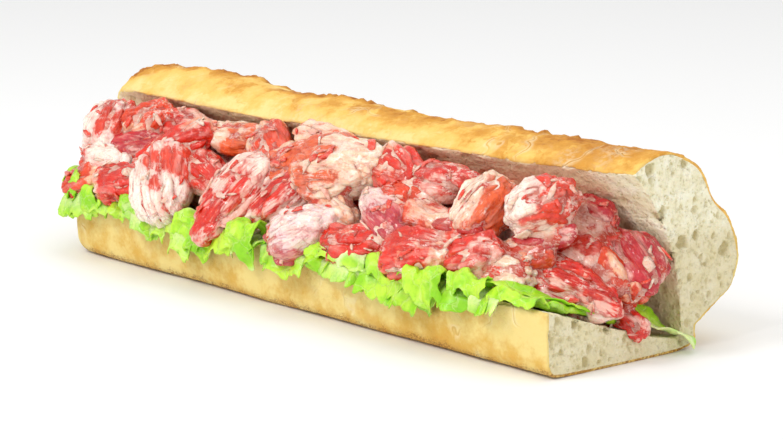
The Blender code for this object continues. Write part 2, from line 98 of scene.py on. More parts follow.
def scattered(cells, seed):
    """A number from 0 to 1 for each whole-number place, the same on every run."""
    x, y, z = (cells.astype(np.int64) * STIR_EACH_AXIS).T
    mixed = x ^ y ^ z ^ seed * STIR_SEED
    for _ in range(2):
        mixed = ((mixed & ALL_BITS) ^ (mixed & ALL_BITS) >> 16) * STIR_AGAIN & ALL_BITS
    return (mixed ^ mixed >> 16) / ALL_BITS


def mist(points, size, seed=0, octaves=1):
    """Soft noise from about -1 to 1, with lumps of that size, and finer ones for more octaves."""
    total, strength, most = 0, 1.0, 0.0
    for octave in range(octaves):
        places = points / size + APART * (seed + octave)
        low = np.floor(places)
        part = places - low
        part = part * part * (3 - 2 * part)
        for corner in CORNERS:
            weight = np.prod(np.where(corner, part, 1 - part), axis=1)
            total = total + strength * weight * (2 * scattered(low + corner, seed + octave) - 1)
        most += strength
        size, strength = size * FINER, strength * FAINTER
    return 1.5 * total / most


def foam(points, cell, smallest, largest, share, seed):
    """How deep each point lies in the bubbles, and a random number for the nearest bubble."""
    places = points / cell
    low = np.floor(places)
    depth, tone = np.zeros(len(points)), np.zeros(len(points))
    for offset in NEIGHBOURS:
        here = low + offset
        centre = here + np.stack([scattered(here, seed + k) for k in range(3)], axis=1)
        radius = smallest + (largest - smallest) * scattered(here, seed + 3) ** 2
        away = np.linalg.norm((places - centre) * cell, axis=1)
        inside = np.sqrt(np.maximum(radius ** 2 - away ** 2, 0))
        inside *= scattered(here, seed + 4) < share
        deeper = inside > depth
        tone = np.where(deeper, scattered(here, seed + 5), tone)
        depth = np.maximum(depth, inside)
    return depth, tone


def smooth_step(values, low, high):
    """0 below low and 1 above high, smooth between."""
    share = np.clip((values - low) / (high - low), 0, 1)
    return share * share * (3 - 2 * share)


# %% [markdown]
# ## Working on a mesh
# A solid from the model is loose triangles, so a copy has its doubles merged first. A voxel
# remesh then gives it small even faces, which is what any shaping in code needs: long thin
# triangles would crease. Modifiers are applied at once, so the points can be moved after them.

# %% Mesh helpers
DOUBLES = 1e-6


def copied(node, name):
    """A new piece with the shape of a solid from the model."""
    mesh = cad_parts[node].data.copy()
    bm = bmesh.new()
    bm.from_mesh(mesh)
    bmesh.ops.remove_doubles(bm, verts=bm.verts, dist=DOUBLES)
    bm.to_mesh(mesh)
    bm.free()
    mesh.materials.clear()
    return linked(name, mesh)


def built(bm, name):
    """A new piece with the shape made in mesh code."""
    mesh = bpy.data.meshes.new(name)
    bm.to_mesh(mesh)
    bm.free()
    return linked(name, mesh)


def apply_modifiers(piece):
    """Makes what the modifiers give the piece's own mesh."""
    graph = bpy.context.evaluated_depsgraph_get()
    finished = bpy.data.meshes.new_from_object(piece.evaluated_get(graph))
    piece.modifiers.clear()
    old, piece.data = piece.data, finished
    bpy.data.meshes.remove(old)


def remeshed(piece, voxel, smoothing=0):
    """Gives the piece small even faces, and smooths them as many times as asked."""
    remesh = piece.modifiers.new("remesh", "REMESH")
    remesh.mode, remesh.voxel_size, remesh.use_smooth_shade = "VOXEL", voxel, True
    if smoothing:
        smooth = piece.modifiers.new("smooth", "SMOOTH")
        smooth.factor, smooth.iterations = 0.5, smoothing
    apply_modifiers(piece)


def get(piece, what="co"):
    """The points of a piece, or its point normals."""
    mesh = piece.data
    source, field = (mesh.vertices, "co") if what == "co" else (mesh.vertex_normals, "vector")
    flat = np.empty(len(mesh.vertices) * 3, np.float32)
    source.foreach_get(field, flat)
    return flat.reshape(-1, 3).astype(float)


def put(piece, points):
    piece.data.vertices.foreach_set("co", points.astype(np.float32).ravel())
    piece.data.update()


def paint(piece, name, values):
    """Stores one number, or three, at each point, for a material to read."""
    kind, field = ("FLOAT", "value") if values.ndim == 1 else ("FLOAT_VECTOR", "vector")
    layer = piece.data.attributes.new(name, kind, "POINT")
    layer.data.foreach_set(field, values.astype(np.float32).ravel())


def settle(piece, material, slot, *nodes):
    """Gives a finished piece its material and its place in the model."""
    piece.data.materials.append(material)
    piece.data.shade_smooth()
    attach(piece, "root")
    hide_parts(*nodes)


# %% [markdown]
# ## Writing materials as sums
# A material is a net of nodes, and sums drawn as nodes are hard to read. Here one small class
# stands for a socket, so `1 - mask` adds the Math node itself. Colours are mixed with Mix
# nodes, since a Math node would turn them grey.

# %% Shader helpers
class Signal:
    """The output of a node, which can be used in a sum."""

    def __init__(self, finish, socket):
        self.finish, self.socket = finish, socket

    def sum(self, operation, a, b):
        node = self.finish.node("Math", {"operation": operation}, {0: a, 1: b})
        return Signal(self.finish, node.outputs[0])

    def __add__(self, other):
        return self.sum("ADD", self, other)

    def __sub__(self, other):
        return self.sum("SUBTRACT", self, other)

    def __rsub__(self, other):
        return self.sum("SUBTRACT", other, self)

    def __mul__(self, other):
        return self.sum("MULTIPLY", self, other)

    __radd__, __rmul__ = __add__, __mul__

    def step(self, low, high):
        """0 below low and 1 above high, smooth between."""
        node = self.finish.node("MapRange", {"interpolation_type": "SMOOTHSTEP"},
                                {"Value": self, "From Min": low, "From Max": high})
        return Signal(self.finish, node.outputs[0])


def srgb(code):
    """A colour as a paint chart gives it, #RRGGBB, in the linear light that shaders use."""
    parts = [int(code[i:i + 2], 16) / 255 for i in (1, 3, 5)]
    return [p / 12.92 if p < 0.04045 else ((p + 0.055) / 1.055) ** 2.4 for p in parts]


class Finish:
    """A material under construction. Plain shader values are given at the start."""

    def __init__(self, name, plain):
        self.material = bpy.data.materials.new(name)
        self.material.use_nodes = True
        self.tree = self.material.node_tree
        self.tree.nodes.clear()
        self.shader = self.node("BsdfPrincipled", {}, plain)
        self.node("OutputMaterial", {}, {"Surface": Signal(self, self.shader.outputs[0])})
        self.place = self.out(self.node("TexCoord"), "Object")

    def node(self, kind, settings=None, sockets=None):
        made = self.tree.nodes.new("ShaderNode" + kind)
        for name, value in (settings or {}).items():
            setattr(made, name, value)
        for name, value in (sockets or {}).items():
            if isinstance(value, Signal):
                self.tree.links.new(value.socket, made.inputs[name])
            else:
                made.inputs[name].default_value = value
        return made

    def out(self, node, output=0):
        return Signal(self, node.outputs[output])

    def read(self, name, output="Fac"):
        return self.out(self.node("Attribute", {"attribute_name": name}), output)

    def noise(self, size, detail=3, place=None, rough=0.55):
        sockets = {"Vector": place or self.place, "Scale": 1 / size, "Detail": detail,
                   "Roughness": rough}
        return self.out(self.node("TexNoise", {}, sockets))

    def cells(self, size, place, feature="F1"):
        return self.node("TexVoronoi", {"feature": feature}, {"Vector": place, "Scale": 1 / size})

    def cracks(self, size, place):
        """0 on the borders between cells, rising inwards."""
        return self.out(self.cells(size, place, "DISTANCE_TO_EDGE"))

    def bubbles(self, size, place):
        """0 in the middle of a round cell, rising outwards."""
        return self.out(self.cells(size, place), "Distance")

    def plates(self, size, place):
        """A different random number in each cell, with straight borders between them."""
        return self.out(self.cells(size, place), "Color").step(0, 1)

    def shifted(self, size, amount):
        """The place, pushed about by noise, so a pattern on it looks natural."""
        wave = self.node("TexNoise", {}, {"Vector": self.place, "Scale": 1 / size, "Detail": 2})
        push = self.node("VectorMath", {"operation": "MULTIPLY"},
                         {0: self.out(wave, "Color"), 1: (amount, amount, amount)})
        both = self.node("VectorMath", {"operation": "ADD"}, {0: self.place, 1: self.out(push)})
        return self.out(both)

    def stretched(self, place, scale):
        """The place, scaled along each axis: under 1 draws a pattern out along that axis."""
        node = self.node("VectorMath", {"operation": "MULTIPLY"}, {0: place, 1: scale})
        return self.out(node)

    def mix(self, share, a, b):
        """Colour a where share is 0 and b where it is 1."""
        a, b = ((*srgb(c), 1) if isinstance(c, str) else c for c in (a, b))
        node = self.node("Mix", {"data_type": "RGBA"}, {0: share, 6: a, 7: b})
        return self.out(node, 2)

    def bump(self, height, depth, normal=None):
        """Relief of that depth, on top of another relief if one is given."""
        sockets = {"Height": height, "Distance": depth}
        if normal:
            sockets["Normal"] = normal
        return self.out(self.node("Bump", {}, sockets))

    def finish(self, **sockets):
        """Links the sockets that vary over the surface, and gives the finished material."""
        for name, value in sockets.items():
            self.tree.links.new(value.socket, self.shader.inputs[name.replace("_", " ")])
        return self.material


# %% [markdown]
# ## Bread: crust and crumb
# A baguette has a thin brittle crust, pale gold with toasted ridges, and a white crumb full of
# holes wherever the knife went. Both belong to one mesh, so no seam can show between them. A
# number at each point, *crumb*, says how far it lies from the crust, and another, *bake*, how
# much heat it took. The crust comes first. Its colour climbs with the bake from straw to gold to
# scorched brown, and noise breaks up the borders. Flour and long cracks lie over that.

# %% Crust finish
MOTTLE, GRAIN, SPECK = 11 * MM, 1.6 * MM, 0.7 * MM
FLAKE, SCORCH, FLOUR, CRACK = 8 * MM, 3.5 * MM, 20 * MM, 34 * MM

bread = Finish("baguette_bread", {"Subsurface Weight": 0.12, "Subsurface Radius": (1.0, 0.7, 0.45),
                                  "Subsurface Scale": 0.002, "IOR": 1.4, "Specular IOR Level": 0.3})
bake, crumb, pore = bread.read("bake"), bread.read("crumb"), bread.read("pore")
lid = bread.read("lid")
mottle = bread.noise(MOTTLE, 5)
fine = bread.noise(GRAIN, 4)
speck = bread.noise(SPECK, 2)
flakes = bread.plates(FLAKE, bread.shifted(4 * MM, 12 * MM))
toast = bake + (mottle - 0.5) * 0.9 + (fine - 0.5) * 0.4 + (flakes - 0.5) * (0.08 + lid * 0.14)
pale_crust = bread.mix(lid, "#E9D187", "#F1D68C")
gold_crust = bread.mix(lid, "#DAAF56", "#F0C266")
crust_colour = bread.mix(toast.step(0.0, 0.45), pale_crust, gold_crust)
crust_colour = bread.mix(toast.step(0.4, 0.78), crust_colour, "#D79A40")
scorched = bread.mix(bread.noise(SCORCH, 4).step(0.4, 0.65), "#A8621F", "#CC8A3A")
crust_colour = bread.mix(toast.step(0.7, 1.35) * 0.9, crust_colour, scorched)
flour = bread.noise(FLOUR, 4).step(0.54, 0.72) * fine.step(0.38, 0.62)
crust_colour = bread.mix(flour * 0.35, crust_colour, "#F5E7C0")
flaw = bread.cracks(CRACK, bread.shifted(16 * MM, 22 * MM))
patches = bread.noise(FLOUR, 2).step(0.5, 0.6)
split = (1 - flaw.step(0.001, 0.009)) * patches
lifted = (flaw.step(0.004, 0.012) - flaw.step(0.012, 0.05)) * patches
crust_colour = bread.mix(lifted * 0.4, crust_colour, "#F8E9BE")
crust_colour = bread.mix(split * 0.4, crust_colour, "#B4813F")
sole = bread.read("sole")
crust_colour = bread.mix(sole * speck.step(0.4, 0.62), crust_colour, "#9C6A35")
crust_height = flaw.step(0.0, 0.03) * patches * 0.5 + mottle * 0.9 + flakes * 0.3
print("nodes in the crust:", len(bread.tree.nodes))

# %% [markdown]
# The crumb is cream, painted a little darker in the lower half as painted shade, and warm where
# the meat lies against it, where it is also painted lighter as painted light in the lid's shade.
# Its bubbles are too small for the mesh, so two sizes of cells make them as relief, with painted
# shade in their middles. The larger holes are in the mesh already, and *pore* says how deep each
# one is, so each is painted darker with depth, as painted shade.

# %% Crumb finish, and both together
SMALL_BUBBLE, LARGE_BUBBLE, CLOUD = 1.3 * MM, 2.6 * MM, 6 * MM

warped = bread.shifted(2 * MM, 1.1 * MM)
bubbles = bread.bubbles(SMALL_BUBBLE, warped) * 0.6 + bread.bubbles(LARGE_BUBBLE, warped) * 0.5
crumb_colour = bread.mix(bread.noise(CLOUD, 3).step(0.35, 0.7), "#F1E9C6", "#FBF6DE")
# Warm tint and painted light: the cut face under the lid is lightened where the lid shades it.
crumb_colour = bread.mix(bread.read("inner") * 0.6, crumb_colour, "#FCD9AE")
# Painted shade: the crumb of the lower half is darker.
crumb_colour = bread.mix((1 - lid) * 0.45, crumb_colour, "#CDBB88")
# Painted shade in the middles of the small bubbles.
crumb_colour = bread.mix(bubbles.step(0.15, 0.5), "#CFC494", crumb_colour)
# Painted shade: the holes darken with their depth.
crumb_colour = bread.mix(pore.step(0.05, 1.9) * 0.6, crumb_colour, "#BBAA72")
edge = (crumb + (fine - 0.5) * 0.35).step(0.35, 0.65)
bread_colour = bread.mix(edge, crust_colour, crumb_colour)
coarse_relief = bread.bump(crust_height * (1 - edge) + bubbles * edge, 0.7 * MM)
fine_relief = bread.bump(fine + speck * 0.6, 0.3 * MM, coarse_relief)
bread_material = bread.finish(Base_Color=bread_colour, Normal=fine_relief,
                              Roughness=0.72 + edge * 0.2 + (fine - 0.5) * 0.3)
print("nodes in the bread:", len(bread.tree.nodes))

# %% [markdown]
# ## The loaf's form
# The model's loaf is made of flat faces. Joining its triangles into four-sided faces and
# subdividing them gives a smooth form, and creases keep the knife's edges sharp. The regions
# between sharp edges are the crust, the two cut faces and the cut end. A voxel copy is then
# pulled onto that form, because it has even faces all over.

# %% Smooth form of the loaf
SHARP = math.radians(45)
CRUST, INNER_CUT, LOWER_CUT, END_CUT = 0, 1, 2, 3


def spread(face, left):
    """All faces that can be reached without crossing a sharp edge."""
    found, todo = [], [face]
    left.discard(face)
    while todo:
        face = todo.pop()
        found.append(face)
        for edge in face.edges:
            if edge.calc_face_angle(0) < SHARP:
                new = [f for f in edge.link_faces if f in left]
                left.difference_update(new)
                todo += new
    return found


form = copied("baguette", "loaf_form")
bm = bmesh.new()
bm.from_mesh(form.data)
bmesh.ops.join_triangles(bm, faces=bm.faces, angle_face_threshold=0.6, angle_shape_threshold=1.2)
left, regions = set(bm.faces), []
for face in list(bm.faces):
    if face in left:
        regions.append(spread(face, left))
regions.sort(key=lambda faces: -sum(f.calc_area() for f in faces))
for i, faces in enumerate(regions):
    print(i, len(faces), "faces", round(sum(f.calc_area() for f in faces) * 1e6), "mm2")
    for face in faces:
        face.material_index = min(i, END_CUT)
crease = bm.edges.layers.float.new("crease_edge")
for edge in bm.edges:
    if edge.calc_face_angle(0) > SHARP:
        edge[crease] = 1.0
bm.to_mesh(form.data)
bm.free()
subdivide = form.modifiers.new("smooth", "SUBSURF")
subdivide.levels = subdivide.render_levels = 3
apply_modifiers(form)


def surface(mesh, wanted):
    """A tree that finds the nearest point on the faces of the wanted regions."""
    faces = [p for p in mesh.polygons if p.material_index in wanted]
    tree = BVHTree.FromPolygons([v.co for v in mesh.vertices], [tuple(p.vertices) for p in faces])
    return tree, [p.material_index for p in faces]


whole_form, region_of = surface(form.data, (CRUST, INNER_CUT, LOWER_CUT, END_CUT))
crust_form, _ = surface(form.data, (CRUST,))
cut_form, _ = surface(form.data, (INNER_CUT, LOWER_CUT, END_CUT))

# %% [markdown]
# The cut end faces the camera and shows every hole, so its faces are halved twice. After each
# round the points are pulled onto the smooth form again.

# %% Even mesh of the loaf
LOAF_VOXEL = 1.5 * MM
NEAR_END, AT_END, FACING_END = 0.1465, 0.1485, 0.5

loaf = copied("baguette", "baguette_bread")
remeshed(loaf, LOAF_VOXEL)


def pull_onto_form(piece):
    """Moves each point to the smooth form. Returns the form's normals and regions there."""
    points, normals, places = get(piece), [], []
    for i, point in enumerate(points):
        place, normal, face, _ = whole_form.find_nearest(Vector(point))
        points[i] = place
        normals.append(normal)
        places.append(region_of[face])
    put(piece, points)
    return np.array(normals), np.array(places)


def divide_where(piece, wanted):
    """Halves the faces whose middle is wanted."""
    bm = bmesh.new()
    bm.from_mesh(piece.data)
    faces = [f for f in bm.faces if wanted(f.calc_center_median(), f.normal)]
    edges = list({e for f in faces for e in f.edges})
    bmesh.ops.subdivide_edges(bm, edges=edges, cuts=1, use_grid_fill=True)
    bm.to_mesh(piece.data)
    bm.free()


pull_onto_form(loaf)
divide_where(loaf, lambda p, n: p.x > NEAR_END or (n.x > 0.6 and p.x > 0.1))
pull_onto_form(loaf)
divide_where(loaf, lambda p, n: p.x > AT_END and n.x > FACING_END)
form_normal, region = pull_onto_form(loaf)
print("loaf faces:", len(loaf.data.polygons))

# %% [markdown]
# ## Zones of the loaf
# Relief and colour both depend on where a point lies: how far it is from the crust and from the
# cut, whether it belongs to the cut end, and how near it is to the floor.

# %% Zones
points = get(loaf)
from_crust = np.array([crust_form.find_nearest(Vector(p))[3] for p in points])
crust_share = 1 - smooth_step(from_crust, 0.7 * MM, 1.3 * MM)
is_cut = (region != CRUST) * smooth_step(from_crust, 0.6 * MM, 1.6 * MM)
is_end = region == END_CUT
from_cut = np.array([cut_form.find_nearest(Vector(p))[3] for p in points])
grounded = smooth_step(points[:, 2], 0.4 * MM, 3 * MM)
print("points on crust, cut faces and end:", [int(v.sum()) for v in (region == CRUST, region > 0, is_end)])

# %% [markdown]
# ## Toasted ridges
# The ears beside the slashes stand proud, so they brown first and tear. They are found by their
# shape: a ridge stands out from the average of its neighbourhood. How far each point stands out
# is compared with what is usual on the lid, so the limit needs no tuning.

# %% Ridges
NEIGHBOURHOOD = 14

edge_ends = np.empty(len(loaf.data.edges) * 2, np.int32)
loaf.data.edges.foreach_get("vertices", edge_ends)
edge_ends = edge_ends.reshape(-1, 2)


def averaged(values, rounds):
    """Blends each point's numbers with its neighbours' again and again."""
    a, b = edge_ends.T
    count = np.bincount(a, minlength=len(values)) + np.bincount(b, minlength=len(values))
    for _ in range(rounds):
        sums = [np.bincount(a, v[b], len(v)) + np.bincount(b, v[a], len(v)) for v in values.T]
        values = np.stack(sums, axis=1) / count[:, None]
    return values


bulge = ((points - averaged(points, NEIGHBOURHOOD)) * form_normal).sum(axis=1) / MM
on_lid_crust = (region == CRUST) & (points[:, 2] > 40 * MM) & (from_cut > 6 * MM)
typical, spread_of = np.median(bulge[on_lid_crust]), bulge[on_lid_crust].std()
ridge = np.clip((bulge - typical) / spread_of, -1, 2) * smooth_step(from_cut, 3 * MM, 9 * MM)
print("bulge of the lid in mm:", round(typical, 3), "give or take", round(spread_of, 3))

# %% [markdown]
# ## Crust relief and open crumb
# The crust gets shallow waves and blisters, and the ears are torn. The cut faces get bubbles of
# three sizes, sunk to the depth that a knife through a real bubble leaves. They are drawn out a
# little along the loaf and upwards, as dough rises. The underside stays flat, so the loaf rests.

# %% Relief of the loaf
DRAWN_OUT = (0.8, 1.0, 0.85)
EAR = 0.8 * MM

drawn = points * DRAWN_OUT
drawn += 0.9 * MM * np.stack([mist(points, 3.5 * MM, 90 + k, 2) for k in range(3)], axis=1)
big, _ = foam(drawn, 6.0 * MM, 1.1 * MM, 3.0 * MM, 0.72, 11)
middling, _ = foam(drawn, 2.9 * MM, 0.6 * MM, 1.45 * MM, 0.8, 23)
small, _ = foam(drawn, 1.4 * MM, 0.35 * MM, 0.65 * MM, 0.8, 37)
holes = np.where(is_end, np.maximum(big, np.maximum(middling * 1.1, small)),
                 0.6 * np.maximum(big, middling))
holes *= is_cut * smooth_step(points[:, 2], 1.2 * MM, 2.5 * MM)
soft = mist(points, 5 * MM, 5, 3) * 0.5 * MM * is_cut * grounded
waves = mist(points, 16 * MM, 3, 2) * 0.45 * MM
blisters = np.maximum(mist(points, 4.5 * MM, 9, 2), 0) ** 2 * 0.5 * MM
high_up = smooth_step(points[:, 2], 45 * MM, 60 * MM)
torn = np.clip(ridge, 0, 1.5) * high_up * mist(points, 2.6 * MM, 19, 2)
on_crust = (waves + blisters + EAR * torn) * crust_share * grounded * (1 - is_cut)
put(loaf, points + form_normal * (on_crust + soft - holes)[:, None])
print("deepest hole in mm:", round(holes.max() / MM, 2))

# %% [markdown]
# ## Where the loaf is baked
# The lid took more heat than the sides, the cut end's part of it most of all. The bottom edge
# browned on the oven floor, and the strip beside the slit stayed pale. Ridges are toasted.

# %% Bake, and the other numbers that the finish reads
height = smooth_step(points[:, 2], 30 * MM, 72 * MM)
facing_up = np.clip(form_normal[:, 2], 0, 1)
near_end = smooth_step(points[:, 0], 0.03, 0.15)
lid_share = smooth_step(points[:, 2], 38 * MM, 48 * MM)
low_down = 1 - smooth_step(points[:, 2], 1 * MM, 22 * MM)
baked = 0.02 + 0.2 * lid_share + 0.24 * low_down + 0.48 * lid_share * near_end
baked += 0.2 * height * facing_up
baked += 0.26 * mist(points, 22 * MM, 41, 3) + 0.14 * mist(points, 6 * MM, 43, 2)
baked -= 0.16 * (1 - smooth_step(from_cut, 2 * MM, 10 * MM)) * lid_share
baked += 0.62 * np.maximum(ridge, -0.5) * lid_share * (0.6 + 0.4 * mist(points, 5 * MM, 45, 2))
paint(loaf, "bake", baked)
paint(loaf, "lid", lid_share)
# Where the cut face under the lid gets its warm tint and its painted light.
paint(loaf, "inner", (region == INNER_CUT) * smooth_step(0.15 - points[:, 0], 0.004, 0.03))
paint(loaf, "crumb", 1 - crust_share)
# How deep each hole is, for the painted shade in it.
paint(loaf, "pore", holes / MM)
ragged_height = points[:, 2] + 1.2 * MM * mist(points, 3 * MM, 8)
paint(loaf, "sole", 1 - smooth_step(ragged_height, 1.5 * MM, 4 * MM))
bpy.data.objects.remove(form)
settle(loaf, bread_material, "crust", "baguette")
print("bread stands", round(get(loaf)[:, 2].min() / MM, 3), "mm over the floor")

# %% [markdown]
# ## Lobster meat
# Cooked lobster is white or cream flesh of long fibres, and the side that lay against the shell
# carries a thin red, orange or magenta skin. A thin cream dressing wets it all. Each piece stores
# its own flesh and skin colours, where the skin lies, where dressing and painted highlights sit,
# where painted shade lies in its folds, and the direction of its fibres. One material then reads
# them, so all the pieces share a recipe but none look alike.

# %% Lobster patterns
FIBRE, HAIR, BAND, THREAD = 1.5 * MM, 0.8 * MM, 3.4 * MM, 1.9 * MM
CLOT, DOT, THREAD_PATCH = 2.6 * MM, 0.9 * MM, 5 * MM

meat = Finish("lobster_meat", {"Subsurface Weight": 0.32, "Subsurface Radius": (1.0, 0.38, 0.26),
                               "Subsurface Scale": 0.002, "Coat Roughness": 0.08, "IOR": 1.42,
                               "Specular IOR Level": 0.35})
flesh, skin = meat.read("flesh", "Color"), meat.read("skin", "Color")
cover, film, stripe = meat.read("cover"), meat.read("film"), meat.read("stripe")
grain = meat.read("grain", "Vector")
deep = meat.read("deep")
fibres = meat.noise(FIBRE, 3, meat.stretched(grain, (0.15, 1, 1)))
hair = meat.noise(HAIR, 4, meat.stretched(grain, (0.14, 1, 1)), 0.7)
bands = meat.noise(BAND, 3, meat.stretched(grain, (0.22, 1, 1)))
clots = meat.noise(CLOT, 4, rough=0.65)
dots = meat.noise(DOT, 2)
skin_share = (cover + (clots - 0.5) * 0.5 + (bands - 0.5) * 0.45).step(0.4, 0.56)
threads = 1 - meat.cracks(THREAD, meat.stretched(grain, (0.22, 1, 1))).step(0.02, 0.14)
threads = threads * meat.noise(THREAD_PATCH, 2).step(0.45, 0.62)
dressing_and_painted_highlight = film * (clots * 0.5 + hair * 0.5).step(0.48, 0.58)
print("nodes for the patterns:", len(meat.tree.nodes))

# %% [markdown]
# *Rich* is the red side, darker in clots and streaked with orange and cream. *Pale* is the bare
# flesh, which takes a breath of red where the skin is near. Dark threads, painted shade in deep
# folds and the cream dressing, painted near white where it also stands for painted highlights, are
# laid over both. The gloss comes from a clear coat, since the meat is wet.

# %% Lobster finish
rich = meat.mix(clots.step(0.4, 0.75) * 0.6, skin, "#B01408")
rich = meat.mix(hair.step(0.48, 0.66) * (stripe * 0.2 + 0.2), rich, "#F2602C")
rich = meat.mix(stripe * bands.step(0.52, 0.64) * 0.8, rich, "#FBD2C0")
cream_streaks = (fibres * 0.5 + hair * 0.5).step(0.56, 0.64) * (stripe * 0.5 + 0.05)
rich = meat.mix(cream_streaks, rich, "#FFE3D2")
pale = meat.mix(fibres.step(0.42, 0.62) * 0.8, flesh, "#FFF0DE")
streaks = (hair + cover * 0.3).step(0.56, 0.66)
pale = meat.mix(streaks * 0.3, pale, meat.mix(0.6, flesh, skin))
pale = meat.mix(dots.step(0.58, 0.66) * 0.3, pale, skin)
tint = (cover + (fibres - 0.5) * 0.9).step(0.12, 0.5)
pale = meat.mix(tint * 0.35, pale, meat.mix(0.6, flesh, skin))
meat_colour = meat.mix(skin_share, pale, rich)
dark_thread = meat.mix(0.55, skin, "#A81C26")
meat_colour = meat.mix(threads * (stripe * 0.5 + 0.2), meat_colour, dark_thread)
# Painted shade in deep folds and creases, and in the gaps between pieces.
meat_colour = meat.mix(deep * 0.75, meat_colour, meat.mix(0.6, skin, "#7E1A10"))
# Painted highlight: flecks of cream dressing, painted near white, stand for glints on the meat.
meat_colour = meat.mix(dressing_and_painted_highlight * 0.65, meat_colour, "#FDE6D6")
meat_relief = meat.bump(fibres + clots * 0.8 + hair * 0.35 - threads * 0.3, 0.7 * MM)
meat_relief = meat.bump(dots, 0.22 * MM, meat_relief)
meat_material = meat.finish(Base_Color=meat_colour, Normal=meat_relief,
                            Roughness=0.22 + (clots - 0.5) * 0.3 + skin_share * 0.03,
                            Coat_Weight=0.6 + dressing_and_painted_highlight * 0.3)
print("nodes in the meat:", len(meat.tree.nodes))

# %% [markdown]
# ## Which piece looks how
# Ten looks are enough for all the pieces. Each piece also names the side that lay against the
# shell, where its skin is thickest, so that the red falls where the photograph shows it.

# %% Looks of the pieces
# flesh colour, skin colour, how much skin covers it, how strongly it is striped
LOOKS = {
    "white": ("#FCEFE6", "#E8482A", 0.24, 0.3),
    "cream": ("#F9DCC0", "#F0743C", 0.34, 0.2),
    "peach": ("#F9C6A6", "#EE5A32", 0.44, 0.2),
    "lilac": ("#F8DEDC", "#CC4A5E", 0.36, 0.5),
    "pink": ("#F8C0B2", "#E23A2C", 0.48, 0.4),
    "magenta": ("#F4B2AC", "#C72E42", 0.6, 0.4),
    "striped": ("#FBDCD0", "#E22E1E", 0.6, 0.9),
    "red": ("#F9B08E", "#E62C0E", 0.80, 0.25),
    "dark red": ("#EE8E72", "#C41C12", 0.85, 0.1),
    "orange": ("#FBCBA4", "#F0501E", 0.62, 0.15),
}
RIGHT, LEFT, TOP, FOOT = (1, 0, 0), (-1, 0, 0), (0, 0, 1), (0, 0, -1)
FRONT, BACK = (0, -1, 0), (0.5, 0.7, 0.5)
PIECES = {
    "knuckle_01": ("white", RIGHT), "knuckle_02": ("orange", TOP), "flake_01": ("pink", FRONT),
    "claw_01": ("magenta", TOP), "tail_01": ("white", LEFT), "knuckle_03": ("orange", FOOT),
    "knuckle_04": ("red", RIGHT), "claw_02": ("red", FOOT), "tail_02": ("white", BACK),
    "claw_03": ("pink", TOP), "claw_04": ("striped", FOOT), "flake_02": ("cream", RIGHT),
    "claw_05": ("orange", RIGHT), "knuckle_05": ("cream", FRONT), "claw_06": ("striped", TOP),
    "claw_07": ("cream", LEFT), "knuckle_06": ("red", RIGHT), "flake_03": ("cream", TOP),
    "flake_04": ("orange", FRONT), "claw_08": ("lilac", FOOT), "knuckle_07": ("peach", LEFT),
    "claw_09": ("lilac", RIGHT), "knuckle_08": ("red", FRONT), "knuckle_09": ("red", LEFT),
    "claw_10": ("pink", TOP), "knuckle_10": ("cream", RIGHT), "claw_11": ("peach", FOOT),
    "flake_05": ("dark red", FRONT), "knuckle_11": ("pink", TOP), "knuckle_12": ("white", RIGHT),
    "flake_06": ("magenta", FRONT), "knuckle_13": ("magenta", TOP), "knuckle_14": ("orange", LEFT),
    "claw_12": ("magenta", RIGHT), "knuckle_15": ("orange", FOOT), "claw_13": ("striped", TOP),
    "knuckle_16": ("cream", LEFT), "flake_07": ("peach", RIGHT), "claw_14": ("striped", RIGHT),
    "knuckle_17": ("pink", TOP), "knuckle_18": ("pink", FRONT),
}
print("looks:", len(LOOKS), "pieces:", len(PIECES))

# %% [markdown]
# ## Shaping a piece of meat
# A remeshed copy of each solid is pushed in and out by four kinds of noise: broad lumps, folds
# between muscles, long fibres and ragged ends. Tail meat is smoother, and has grooves across it
# where the shell's rings pressed. The longest axis of the piece, found from the spread of its
# points, is the direction of its fibres.

# %% Lobster pieces
MEAT_VOXEL = 0.5 * MM
PLUMP, LUMP, FOLD, FIBRE_RELIEF, RAGGED = 0.9 * MM, 1.0 * MM, 1.5 * MM, 0.42 * MM, 1.0 * MM
RING, RING_DEPTH = 4.6 * MM, 1.5 * MM
ALONG_FIBRES = (0.18, 1, 1)
ROSY = np.array((1.0, 0.86, 0.78))
DEEPER_RED = np.array((1.0, 0.8, 0.7))


def paint_meat(piece, **looks):
    """Stores what the lobster finish reads, one number for the whole piece or one a point."""
    for name, values in looks.items():
        if np.ndim(values) == 0:
            values = np.full(len(piece.data.vertices), values)
        paint(piece, name, values)


def own_axes(points):
    """The middle of the points, and their long, middle and short axes as rows."""
    middle = points.mean(axis=0)
    spread_out = np.cov((points - middle).T)
    return middle, np.linalg.eigh(spread_out)[1][:, ::-1].T


